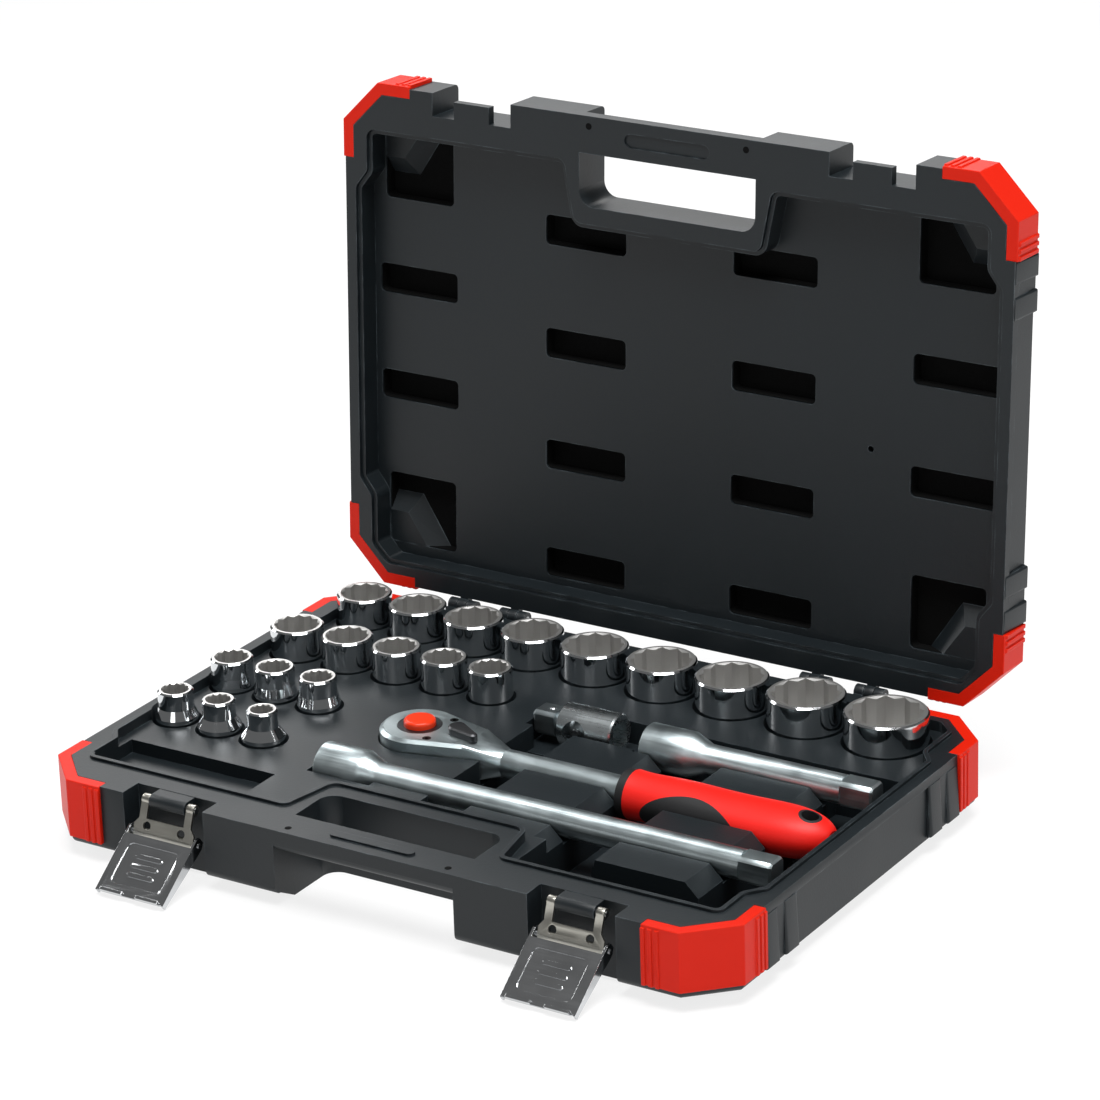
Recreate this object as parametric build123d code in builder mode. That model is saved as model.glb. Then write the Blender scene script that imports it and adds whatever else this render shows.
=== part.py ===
"""A half-inch drive socket set lying in its open, double-walled plastic case.

Millimetres, +Z up. The origin is the middle of the base's underside, +X runs along the front edge to the
right and +Y towards the hinges. The lid stands open, the latches hang open and every tool is in its place.
"""

import math
import os

from build123d import *

os.makedirs("parts", exist_ok=True)

# Case
case_width = 380.0
case_depth = 265.0
base_height = 40.0
lid_height = 24.0
lid_angle = 93.2
corner_cut = 20.6
wall = 3.0
floor = 3.0
skirt = 2.2
fit = 0.15
running = 0.05
rim_gap = 0.4
bevel_height = 6.0
bevel_inset = 15.0
edge_round = 4.0
lid_edge = 3.0
panel_recess = 1.2
panel_length = 168.0
panel_top = 5.0

# Mouth of the base, where the tray's edge shows as a bead
rim_front = 23.5
rim_rear = 10.0
rim_side = 6.0
rim_corner = 13.0
mouth_jog = 78.0
mouth_jog_run = 9.0
mouth_round = 5.0
mouth_cut = 9.0
bead_height = 1.4

# Carrying handle, half of it on the base and half on the lid
bay_width = 100.0
bay_back = 86.5
bay_round = 8.0
handle_depth = 19.0
handle_height = 11.0
handle_round = 4.5
grip_mark_length = 48.0
grip_mark_width = 7.0
grip_mark_depth = 1.0
grip_mark_setback = 9.5
grip_strip_height = 1.1
grip_strip_room = 0.8
bulge_margin = 9.0
bulge_flare = 6.0

# Hinges
hinge_offset = 4.35
knuckle_radius = 3.6
hinge_pin_radius = 1.5
hinge_stations = (-119.5, -88.5, 88.5, 119.5)
hinge_leaf = 5.0
hinge_gap = 0.4
leaves_per_station = 3

# Latches
latch_x = 113.4
latch_bay_width = 46.5
latch_bay_depth = 12.0
latch_axis_depth = 6.0
latch_axis_drop = 3.6
latch_knuckle_radius = 3.4
latch_knuckle_width = 20.4
latch_pin_radius = 1.5
pin_overhang = 0.4
latch_hang = 20.0
bracket_length = 16.0
bracket_gap = 0.7
bracket_stand = 2.2
bracket_flare_start = 12.0
bracket_hole_x = 10.0
bracket_hole_drop = 12.4
bracket_arm = 4.1
bracket_eye = 2.6
bracket_window = 9.0
bracket_plate = 1.2
bracket_foot = 17.4
bracket_hole = 2.2
bracket_barrel = 2.2
lever_pin_radius = 1.2
lever_splay = 53.0
lever_length = 35.5
lever_half = 19.8
lever_sheet = 1.2
lever_stand = 2.6
lever_field_depth = 0.5
lever_field_start = 8.0
lever_field_end = 30.0
lever_field_half = 14.5
lever_top = 3.6
lever_corner = 3.0
lever_pin_overhang = 0.5
lever_lip = 1.4
lever_lip_width = 1.6
lever_notch = 8.0
lever_bar_length = 15.0
lever_bar_width = 2.4
lever_bars = (14.0, 19.0, 24.0)
lever_profile = (
    (-3.0, 2.6),
    (-3.0, -1.5),
    (0.0, -3.2),
    (3.0, -3.0),
    (33.0, 0.6),
    (35.5, 0.6),
    (35.5, 3.8),
    (-1.0, 3.8),
)
lug_half = 10.5
lug_depth = 4.6
lug_setback = 3.2

# Corner guards
guard_leg = 19.0
guard_proud = 1.2
guard_sunk = 1.3
guard_lip = 5.0
guard_lip_height = 1.4
guard_rib = 0.8
guard_rib_width = 2.2
guard_rib_pitch = 3.6
guard_ribs = 3
guard_fit = 0.05

# Tray
plateau_drop = 4.0
tray_sheet = 2.4
cup_wall = 2.0
bay_floor = 11.4
pocket_room = 1.0
socket_room = 1.4
end_room = 2.4
trough_drop = 7.0
trough_margin = 6.0
trough_length = 90.0
trough_rim = 5.0
trough_width = 30.0
ridge_bevel = 7.0
ridge_back_bevel = 2.3
bay_left = -12.0
bay_margin = 4.0
bay_rear = 60.0
step_x = 63.0
mid_ridge_left = 10.0
mid_ridge_right = 56.0
mid_ridge_back = 32.0
end_ridge_left = 92.0
end_ridge_right = 142.0
end_ridge_front = -81.0
end_ridge_back = 38.0
cradle_front = 28.0
cradle_split = 40.0
cradle_right = 72.0

# Lid liner: recess rows are measured from the hinge axis
panel_depth = 13.4
slot_length = 47.0
slot_width = 15.5
slot_round = 2.5
slot_column = 54.2
slot_rows = (28.5, 86.5, 145.5, 204.5)
side_inset = 29.4
side_rows = (108.2, 165.0)
pocket_inset = 30.5
pocket_rows = (41.5, 227.0)
pocket_length = 41.0
pocket_width = 38.0
vent_x = 109.0
vent_row = 120.5
vent_radius = 1.6

# Sockets: nut sizes in rows from the front, each with its first socket's distance from the mouth's left
# edge and the row's y; the rear row stands along the mouth's rear edge instead
socket_rows = (
    ((12, 11, 10), 12.6, -42.9),
    ((15, 14, 13), 13.4, 3.3),
    ((20, 19, 18, 17, 16), 18.0, 53.4),
    ((21, 22, 23, 24, 26, 27, 28, 30, 32), 24.4, None),
)
rear_row_margin = 3.5
socket_gap = 4.2
socket_rise = 12.0
socket_wall_base = 3.4
socket_wall_rate = 1.2
drive_end_diameter = 22.0
drive_end_length = 24.5
drive_end_taper = 4.5
drive_square = 12.7
drive_room = 0.2
socket_edge = 0.8
socket_lead = 0.9
socket_drive_depth = 15.0
socket_web = 2.5
nut_room = 0.2
short_socket = 38.0
middle_socket = 40.0
long_socket = 41.5
middle_from = 23
long_from = 30
hexagon_sides = 6
hexagon_turn = 30.0

# Extension bars
bar_axis_drop = 5.2
long_bar_length = 250.0
long_bar_margin = 11.1
long_bar_y = -50.7
short_bar_length = 125.0
short_bar_margin = 9.9
short_bar_y = 42.4
bar_radius = 7.3
bar_head_radius = 11.5
bar_head_length = 24.0
bar_neck_length = 10.0
bar_square_length = 17.0
square_corner = 7.8
square_chamfer = 1.2
square_chamfer_slope = 34.0
bar_edge = 0.9
bar_drive_depth = 17.0
detent_radius = 2.0
detent_show = 0.8
detent_setback = 8.0

# Ratchet
ratchet_x = -53.0
ratchet_y = -4.0
head_rise = 2.5
head_radius = 19.8
head_height = 20.0
head_edge = 1.6
neck_start = 32.0
neck_end = 50.0
neck_half = 7.0
shank_radius = 7.0
tang_radius = 6.0
tang_end = 150.0
cover_height = 3.0
cover_margin = 2.0
cover_end = 27.0
gear_radius = 12.6
gear_teeth = 36
tooth_depth = 0.9
gear_height = 9.9
gear_room = 0.4
gear_lift = 0.2
hub_radius = 10.4
crown_radius = 10.9
crown_room = 0.3
drive_length = 14.0
button_radius = 7.9
button_rise = 3.4
button_height = 9.0
button_dome = 1.6
spring_height = 4.0
spring_radius = 5.4
spring_wire = 0.5
spring_pitch = 1.2
screw_x = 12.0
screw_y = 12.2
screw_head_radius = 2.2
screw_head_height = 1.6
screw_radius = 1.2
screw_length = 7.0
screw_recess = 1.0
screw_recess_depth = 0.8
selector_x = 22.0
selector_angle = -22.0
selector_hub = 4.6
selector_shaft = 3.0
selector_shaft_length = 16.5
selector_length = 15.0
selector_tip = 2.4
selector_height = 4.0
selector_gap = 0.2
selector_edge = 0.8
pawl_angle = -15.0
pawl_hub = 4.6
pawl_height = 9.4
pawl_lift = 0.4
pawl_reach = 8.2
pawl_spread = 6.5
pawl_room = 11.6
grip_start = 69.0
grip_end = 175.5
grip_rise = -0.6
grip_core_radius = 8.0
grip_core_end = 170.0
grip_stations = (
    (0.0, 12.6, 12.2),
    (22.0, 13.8, 12.0),
    (52.0, 14.8, 11.4),
    (79.0, 15.4, 11.8),
    (95.0, 13.2, 10.6),
    (102.5, 9.6, 8.0),
    (106.5, 5.2, 4.6),
)
collar_length = 4.5
collar_radius = 12.0
hang_hole_x = 164.0
hang_hole_radius = 4.2
eyelet_wall = 1.4
inlay_x = 106.0
inlay_half_length = 27.5
inlay_half_height = 14.0
inlay_drop = 4.2

# Universal joint
joint_x = 0.5
joint_y = 45.5
sleeve_length = 30.0
sleeve_radius = 10.8
joint_bore = 8.5
joint_bore_depth = 18.6
joint_flare = 10.2
joint_flare_length = 5.0
joint_ball = 8.1
joint_centre = 10.0
joint_window = 6.6
joint_neck = 5.6
joint_pin_radius = 2.3
joint_pin_length = 20.0
joint_square_gap = 4.0
joint_square_length = 12.0
joint_drive_depth = 10.2
joint_edge = 0.8

# Worked-out places
half_width = case_width / 2
half_depth = case_depth / 2
mouth_front = half_depth - rim_front
mouth_rear = half_depth - rim_rear
mouth_half = half_width - rim_side
mouth_corner_half = half_width - rim_corner
trough_left = mouth_half - trough_margin
trough_right = trough_left - trough_length
trough_front = mouth_front - trough_rim
trough_back = trough_front - trough_width
bay_right = mouth_half - bay_margin
front_bay_right = mouth_corner_half - bay_margin
side_column = mouth_half - side_inset
pocket_column = mouth_half - pocket_inset
rear_row_back = mouth_rear - rear_row_margin
long_bar_end = mouth_half - long_bar_margin
short_bar_end = mouth_half - short_bar_margin
plateau = base_height - plateau_drop
tray_under = plateau - tray_sheet
bar_axis = base_height - bar_axis_drop
socket_top = base_height + socket_rise
bay_half = bay_width / 2
shelf = bevel_height + wall
guard_low = bevel_height + edge_round
guard_reach = corner_cut + guard_leg
lid_rim = base_height + rim_gap
lid_top = lid_rim + lid_height
hinge_y = half_depth + hinge_offset
hinge_z = base_height + rim_gap / 2
head_top = base_height + head_rise
head_bottom = head_top - head_height
shank_axis = head_top - head_height / 2
latch_axis_y = latch_axis_depth - half_depth
latch_axis_z = base_height - latch_axis_drop
hang = math.radians(latch_hang)
lever_axis_y = latch_axis_y - bracket_length * math.sin(hang)
lever_axis_z = latch_axis_z - bracket_length * math.cos(hang)

# The lid is drawn as if shut, in a frame turned open about the hinge
lid_frame = Plane(Pos(0, hinge_y, hinge_z) * Rot(-lid_angle, 0, 0) * Pos(0, -hinge_y, -hinge_z))
corners = (("rear_right", 1, 1), ("rear_left", -1, 1), ("front_left", -1, -1), ("front_right", 1, -1))


def finish(piece, name):
    """Labels a finished piece and writes it."""
    piece.part.label = name
    export_step(piece.part, f"parts/{name}.step")


def within(frame, plane):
    """A plane given in a frame's own axes."""
    return Plane(frame.location * plane.location)


def octagon(grow, mode=Mode.ADD):
    """The case's outline in plan, larger all round by grow."""
    half_x = half_width + grow
    half_y = half_depth + grow
    cut = corner_cut + grow * (2 - math.sqrt(2))
    points = [
        (half_x, cut - half_y),
        (half_x, half_y - cut),
        (half_x - cut, half_y),
        (cut - half_x, half_y),
        (-half_x, half_y - cut),
        (-half_x, cut - half_y),
        (cut - half_x, -half_y),
        (half_x - cut, -half_y),
    ]
    Polygon(*points, align=None, mode=mode)


def corner_only(sx, sy, reach):
    """Keeps the part of a plan that lies within reach of one corner."""
    with Locations((sx * half_width, sy * half_depth)):
        Rectangle(2 * reach, 2 * reach, mode=Mode.INTERSECT)


# Mouth in plan: it steps in beside the corner guards and bulges back round the handle
with BuildSketch() as mouth:
    bulge_half = bay_half + bulge_margin
    bulge_back = bulge_margin - bay_back
    jog_end = mouth_jog + mouth_jog_run
    Polygon(
        (mouth_corner_half, mouth_rear - mouth_cut),
        (mouth_corner_half - mouth_cut, mouth_rear),
        (mouth_cut - mouth_corner_half, mouth_rear),
        (-mouth_corner_half, mouth_rear - mouth_cut),
        (-mouth_corner_half, jog_end),
        (-mouth_half, mouth_jog),
        (-mouth_half, -mouth_jog),
        (-mouth_corner_half, -jog_end),
        (-mouth_corner_half, -mouth_front),
        (-bulge_half, -mouth_front),
        (bulge_flare - bulge_half, bulge_back),
        (bulge_half - bulge_flare, bulge_back),
        (bulge_half, -mouth_front),
        (mouth_corner_half, -mouth_front),
        (mouth_corner_half, -jog_end),
        (mouth_half, -mouth_jog),
        (mouth_half, mouth_jog),
        (mouth_corner_half, jog_end),
        align=None,
    )
    fillet(mouth.vertices(), radius=mouth_round)

with BuildSketch() as tray_edge:
    add(mouth.sketch)
    offset(amount=-fit, mode=Mode.REPLACE)

with BuildSketch() as tray_inside:
    add(mouth.sketch)
    offset(amount=-fit - skirt, mode=Mode.REPLACE)

# The bays taken out of the front: one behind the handle bar and one for each latch
with BuildSketch() as bays:
    with Locations((0, -(half_depth + bay_back) / 2)):
        Rectangle(bay_width, half_depth - bay_back)
    fillet(bays.vertices().group_by(Axis.Y)[-1], radius=bay_round)
    with Locations((-latch_x, latch_bay_depth / 2 - half_depth), (latch_x, latch_bay_depth / 2 - half_depth)):
        Rectangle(latch_bay_width, latch_bay_depth)

# What is left inside the walls once the bays are out
with BuildSketch() as inside:
    octagon(0)
    add(bays.sketch, mode=Mode.SUBTRACT)
    offset(amount=-wall, mode=Mode.REPLACE)


def handle_bar(frame, low, high, away):
    """The bar across the handle bay, rounded on its lower (0) or upper (-1) side."""
    with BuildSketch(within(frame, Plane.YZ.offset(-bay_half - wall / 2))) as bar:
        with Locations((handle_depth / 2 - half_depth, (low + high) / 2)):
            Rectangle(handle_depth, high - low)
        fillet(bar.vertices().group_by(Axis.Y)[away], radius=handle_round)
    extrude(bar.sketch, amount=bay_width + wall)


def guard_seat(frame, low, high, lip_low, lip_high):
    """Takes the room for the four corner guards and their lips out of a shell."""
    for name, sx, sy in corners:
        with BuildSketch(frame.offset(low)) as band:
            octagon(wall)
            octagon(-guard_sunk - guard_fit, mode=Mode.SUBTRACT)
            corner_only(sx, sy, guard_reach + guard_fit)
        extrude(band.sketch, amount=high - low, mode=Mode.SUBTRACT)
        with BuildSketch(frame.offset(lip_low)) as lip:
            octagon(wall)
            octagon(-guard_lip - guard_fit, mode=Mode.SUBTRACT)
            corner_only(sx, sy, guard_reach + guard_fit)
        extrude(lip.sketch, amount=lip_high - lip_low, mode=Mode.SUBTRACT)


def guard(frame, low, high, lip_low, lip_high, name, sx, sy):
    """One corner guard: a band round the cut corner, ribbed at its ends, with a lip over the rim."""
    with BuildPart() as piece:
        with BuildSketch(frame.offset(low)):
            octagon(guard_proud)
            for step in range(guard_ribs):
                rib = guard_reach - guard_rib_width / 2 - step * guard_rib_pitch
                proud = guard_proud + guard_rib
                with Locations((sx * (half_width - rib), sy * (half_depth + proud / 2))):
                    Rectangle(guard_rib_width, proud)
                with Locations((sx * (half_width + proud / 2), sy * (half_depth - rib))):
                    Rectangle(proud, guard_rib_width)
            octagon(-guard_sunk, mode=Mode.SUBTRACT)
            corner_only(sx, sy, guard_reach)
        extrude(amount=high - low)
        with BuildSketch(frame.offset(lip_low)):
            octagon(guard_proud)
            octagon(-guard_lip, mode=Mode.SUBTRACT)
            corner_only(sx, sy, guard_reach)
        extrude(amount=lip_high - lip_low)
    finish(piece, name)


def hinge_leaves(frame, low, high, spans, bore):
    """Hinge knuckles with their webs to the rear wall, bored for the pins."""
    for middle, width in spans:
        with BuildSketch(within(frame, Plane.YZ.offset(middle - width / 2))) as leaf:
            with Locations((hinge_y, hinge_z)):
                Circle(knuckle_radius)
            with Locations(((half_depth - wall / 2 + hinge_y) / 2, (low + high) / 2)):
                Rectangle(hinge_y - half_depth + wall / 2, high - low)
            with Locations((hinge_y, hinge_z)):
                Circle(bore, mode=Mode.SUBTRACT)
        extrude(leaf.sketch, amount=width)


# Each hinge station has a lid leaf between two base leaves
base_leaves = []
lid_leaves = []
for station in hinge_stations:
    side = hinge_leaf + hinge_gap
    base_leaves += [(station - side, hinge_leaf), (station + side, hinge_leaf)]
    lid_leaves += [(station, hinge_leaf)]

# Base shell: outer wall, sloping underside, rim, handle bar, latch and hinge knuckles
with BuildPart() as base_shell:
    with BuildSketch(Plane.XY.offset(bevel_height)):
        octagon(0)
    extrude(amount=base_height - bevel_height)
    fillet(base_shell.faces().sort_by(Axis.Z)[0].edges(), radius=edge_round)
    with BuildSketch(Plane.XY):
        octagon(-bevel_inset)
    with BuildSketch(Plane.XY.offset(bevel_height)):
        octagon(-edge_round)
    loft()
    for side in (-1, 1):
        with Locations((side * half_width, 0, (bevel_height + base_height - panel_top) / 2)):
            Box(2 * panel_recess, panel_length, base_height - panel_top - bevel_height, mode=Mode.SUBTRACT)
    with BuildSketch(Plane.XY):
        add(bays.sketch)
    extrude(amount=base_height, mode=Mode.SUBTRACT)
    with BuildSketch(Plane.XY.offset(shelf)):
        add(inside.sketch)
    extrude(amount=base_height - wall - shelf, mode=Mode.SUBTRACT)
    with BuildSketch(Plane.XY.offset(floor)):
        octagon(-bevel_inset - wall)
        with Locations((0, -(half_depth + bay_back) / 2)):
            Rectangle(bay_width + 2 * wall, half_depth - bay_back + 2 * wall, mode=Mode.SUBTRACT)
    extrude(amount=shelf - floor, mode=Mode.SUBTRACT)
    with BuildSketch(Plane.XY.offset(base_height - 2 * wall)):
        add(mouth.sketch)
    extrude(amount=2 * wall, mode=Mode.SUBTRACT)
    lip_seat = base_height - guard_lip_height - guard_fit
    guard_seat(Plane.XY, guard_low - guard_fit, base_height, lip_seat, base_height)
    handle_bar(Plane.XY, base_height - handle_height, base_height, 0)
    with BuildSketch(Plane.XY.offset(base_height)):
        with Locations((0, grip_mark_setback - half_depth)):
            SlotOverall(grip_mark_length - 2 * grip_strip_room, grip_mark_width - 2 * grip_strip_room)
    extrude(amount=grip_strip_height)
    for x in (-latch_x, latch_x):
        with BuildSketch(Plane.YZ.offset(x - latch_knuckle_width / 2)):
            with Locations((latch_axis_y, latch_axis_z)):
                Circle(latch_knuckle_radius)
            web = latch_bay_depth - latch_axis_depth + wall / 2
            with Locations((latch_axis_y + web / 2, latch_axis_z)):
                Rectangle(web, 2 * latch_knuckle_radius)
            with Locations((latch_axis_y, latch_axis_z)):
                Circle(latch_pin_radius, mode=Mode.SUBTRACT)
        extrude(amount=latch_knuckle_width)
    hinge_leaves(Plane.XY, base_height - knuckle_radius, base_height, base_leaves, hinge_pin_radius)
finish(base_shell, "base_shell")

for name, sx, sy in corners:
    lip = base_height - guard_lip_height
    guard(Plane.XY, guard_low, lip, lip, base_height, f"base_guard_{name}", sx, sy)

with BuildPart() as hinge_pins:
    pin_length = leaves_per_station * (hinge_leaf + hinge_gap) - hinge_gap
    for station in hinge_stations:
        with BuildSketch(Plane.YZ.offset(station - pin_length / 2)):
            with Locations((hinge_y, hinge_z)):
                Circle(hinge_pin_radius)
        extrude(amount=pin_length)
finish(hinge_pins, "hinge_pins")

with BuildPart() as latch_pivot_pins:
    pivot_length = latch_knuckle_width + 2 * (bracket_gap + bracket_arm + pin_overhang)
    for x in (-latch_x, latch_x):
        with BuildSketch(Plane.YZ.offset(x - pivot_length / 2)):
            with Locations((latch_axis_y, latch_axis_z)):
                Circle(latch_pin_radius)
        extrude(amount=pivot_length)
finish(latch_pivot_pins, "latch_pivot_pins")


def socket_width(size):
    """Outer diameter of a socket's nut end."""
    return socket_wall_base + socket_wall_rate * size


def socket_body_width(size):
    """Widest diameter of a socket: small ones are wider at the drive end."""
    return max(socket_width(size), drive_end_diameter)


def socket_length(size):
    """Sockets grow longer with their size, in steps."""
    if size < middle_from:
        return short_socket
    return middle_socket if size < long_from else long_socket


# Every socket's place, side by side along its row
sockets = []
for sizes, first_in, row_y in socket_rows:
    x = first_in - mouth_half
    before = None
    for size in sizes:
        if before:
            x += (socket_body_width(before) + socket_body_width(size)) / 2 + socket_gap
        y = rear_row_back - socket_body_width(size) / 2 if row_y is None else row_y
        sockets.append((size, x, y))
        before = size

# Where the tools lie
long_bar_start = long_bar_end - long_bar_length
short_bar_start = short_bar_end - short_bar_length
bar_head_floor = bar_axis - bar_head_radius
bar_floor = bar_axis - bar_radius
shank_floor = shank_axis - shank_radius
grip_axis = shank_axis + grip_rise
sleeve_floor = bar_axis - sleeve_radius
neck_x = ratchet_x + neck_end
lean = math.acos((head_radius - neck_half) / neck_end)
neck_side = (head_radius - neck_start * math.cos(lean)) / math.sin(lean)

grip_floor = grip_axis - max(height for _, _, height in grip_stations)
grip_room = max(width for _, width, _ in grip_stations) + pocket_room


def slab(x0, x1, y0, y1, z0, z1, mode=Mode.ADD):
    """A block between two corners."""
    with Locations(((x0 + x1) / 2, (y0 + y1) / 2, (z0 + z1) / 2)):
        Box(x1 - x0, y1 - y0, z1 - z0, mode=mode)


def ridge(x0, x1, y0, y1):
    """A support ridge across the tool bay, with sloping ends."""
    low = bay_floor - tray_sheet / 2
    shoulder = plateau - ridge_bevel
    with BuildSketch(Plane.XZ.offset(-y1)) as profile:
        Polygon(
            (x0, low),
            (x1 + ridge_bevel, low),
            (x1 + ridge_bevel, shoulder),
            (x1, plateau),
            (x0 + ridge_back_bevel, plateau),
            (x0, shoulder),
            align=None,
        )
    extrude(profile.sketch, amount=y1 - y0)


def pear(grow, end):
    """The ratchet head's outline in plan, drawn out along its neck as far as end."""
    reach = head_radius + grow
    touch = (reach * math.cos(lean), reach * math.sin(lean))
    side = (reach - end * math.cos(lean)) / math.sin(lean)
    with Locations((ratchet_x, ratchet_y)):
        Circle(reach)
        Polygon(touch, (end, side), (end, -side), (touch[0], -touch[1]), align=None)


# Tool tray: a thin plate with its bead, pocket cups, the tool bay and its ridges
tray_front = bulge_back + fit + skirt
bay_under = bay_floor - tray_sheet
trough_floor = plateau - trough_drop
well_floor = head_bottom - drive_length - pocket_room
head_side = bar_head_radius + pocket_room
bar_side = bar_radius + pocket_room
sky = socket_top
with BuildPart() as tool_tray:
    with BuildSketch(Plane.XY.offset(tray_under)):
        add(tray_edge.sketch)
    extrude(amount=tray_sheet)
    with BuildSketch(Plane.XY.offset(tray_under)):
        add(tray_edge.sketch)
        add(tray_inside.sketch, mode=Mode.SUBTRACT)
    extrude(amount=base_height + bead_height - tray_under)
    for size, x, y in sockets:
        cup = socket_top - socket_length(size) - tray_sheet / 2
        with BuildSketch(Plane.XY.offset(cup)):
            with Locations((x, y)):
                Circle(socket_body_width(size) / 2 + socket_room + cup_wall)
        extrude(amount=plateau - cup)
    slab(bay_left - cup_wall, bay_right + cup_wall, tray_front, bay_rear + cup_wall, bay_under, plateau)
    step_left = step_x - cup_wall
    slab(step_left, front_bay_right + cup_wall, -trough_front - cup_wall, tray_front, bay_under, plateau)
    joint_side = sleeve_radius + pocket_room
    joint_pocket_left = joint_x - joint_square_gap - joint_square_length - pocket_room
    slab(
        joint_pocket_left - cup_wall,
        bay_left,
        joint_y - joint_side - cup_wall,
        joint_y + joint_side + cup_wall,
        sleeve_floor - tray_sheet,
        plateau,
    )
    trough_under = trough_floor - tray_sheet
    slab(-trough_left, -trough_right, -trough_front - cup_wall, cup_wall - trough_back, trough_under, plateau)
    with BuildSketch(Plane.XY.offset(head_bottom - tray_sheet)):
        pear(pocket_room + cup_wall, neck_end)
    extrude(amount=plateau - head_bottom + tray_sheet)
    with BuildSketch(Plane.XY.offset(well_floor - tray_sheet / 2)):
        with Locations((ratchet_x, ratchet_y)):
            Circle(hub_radius + pocket_room + cup_wall)
    extrude(amount=head_bottom - well_floor)
    slab(
        long_bar_start - end_room - cup_wall,
        bay_left,
        long_bar_y - head_side - cup_wall,
        long_bar_y + head_side + cup_wall,
        bar_head_floor - tray_sheet,
        plateau,
    )
    # The tool bay, then the ridges and cradles that stand in it
    slab(bay_left, bay_right, tray_front + cup_wall, bay_rear, bay_floor, sky, mode=Mode.SUBTRACT)
    slab(step_x, front_bay_right, -trough_front, bay_rear, bay_floor, sky, mode=Mode.SUBTRACT)
    ridge(mid_ridge_left, mid_ridge_right, tray_front + cup_wall / 2, mid_ridge_back)
    ridge(end_ridge_left, end_ridge_right, end_ridge_front, end_ridge_back)
    slab(bay_left - cup_wall, cradle_split, cradle_front, bay_rear + cup_wall, bay_under, sleeve_floor)
    slab(cradle_split, cradle_right, cradle_front, bay_rear + cup_wall, bay_under, bar_head_floor)
    slab(end_ridge_left, end_ridge_right, end_ridge_back, bay_rear + cup_wall, bay_under, bar_floor)
    # Undersides of the ridges and cradles are hollow
    for x0, x1, y0, y1, top in (
        (mid_ridge_left, mid_ridge_right + ridge_bevel, tray_front, mid_ridge_back, shank_floor),
        (end_ridge_left, end_ridge_right + ridge_bevel, end_ridge_front, end_ridge_back, grip_floor),
        (bay_left, cradle_right, cradle_front, bay_rear, min(sleeve_floor, bar_head_floor)),
        (end_ridge_left, end_ridge_right, end_ridge_back, bay_rear, bar_floor),
    ):
        inset = cup_wall
        slab(x0 + inset, x1 - inset, y0 + inset, y1 - inset, 0, top - tray_sheet, mode=Mode.SUBTRACT)
    # Pockets, cut through plate, ridges and cradles alike
    for size, x, y in sockets:
        seat = socket_top - socket_length(size)
        with BuildSketch(Plane.XY.offset(seat)):
            with Locations((x, y)):
                Circle(socket_body_width(size) / 2 + socket_room)
        extrude(amount=sky - seat, mode=Mode.SUBTRACT)
    slab(
        cup_wall - trough_left, -trough_right - cup_wall, -trough_front, -trough_back, trough_floor, sky,
        mode=Mode.SUBTRACT,
    )
    with BuildSketch(Plane.XY.offset(head_bottom)):
        pear(pocket_room, neck_end)
    extrude(amount=sky - head_bottom, mode=Mode.SUBTRACT)
    with BuildSketch(Plane.XY.offset(well_floor)):
        with Locations((ratchet_x, ratchet_y)):
            Circle(hub_radius + pocket_room)
    extrude(amount=sky - well_floor, mode=Mode.SUBTRACT)
    shank_side = shank_radius + pocket_room
    slab(neck_x - head_edge, grip_start, ratchet_y - shank_side, ratchet_y + shank_side, shank_floor, sky,
         mode=Mode.SUBTRACT)
    slab(grip_start - collar_length - pocket_room, grip_end + pocket_room, ratchet_y - grip_room,
         ratchet_y + grip_room, grip_floor, sky, mode=Mode.SUBTRACT)
    for start, end, y in (
        (long_bar_start, long_bar_end, long_bar_y),
        (short_bar_start, short_bar_end, short_bar_y),
    ):
        neck = start + bar_head_length + bar_neck_length
        slab(start - end_room, neck, y - head_side, y + head_side, bar_head_floor, sky, mode=Mode.SUBTRACT)
        slab(start, end + pocket_room, y - bar_side, y + bar_side, bar_floor, sky, mode=Mode.SUBTRACT)
    slab(joint_pocket_left, cradle_split, joint_y - joint_side, joint_y + joint_side, sleeve_floor, sky,
         mode=Mode.SUBTRACT)
finish(tool_tray, "tool_tray")

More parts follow.
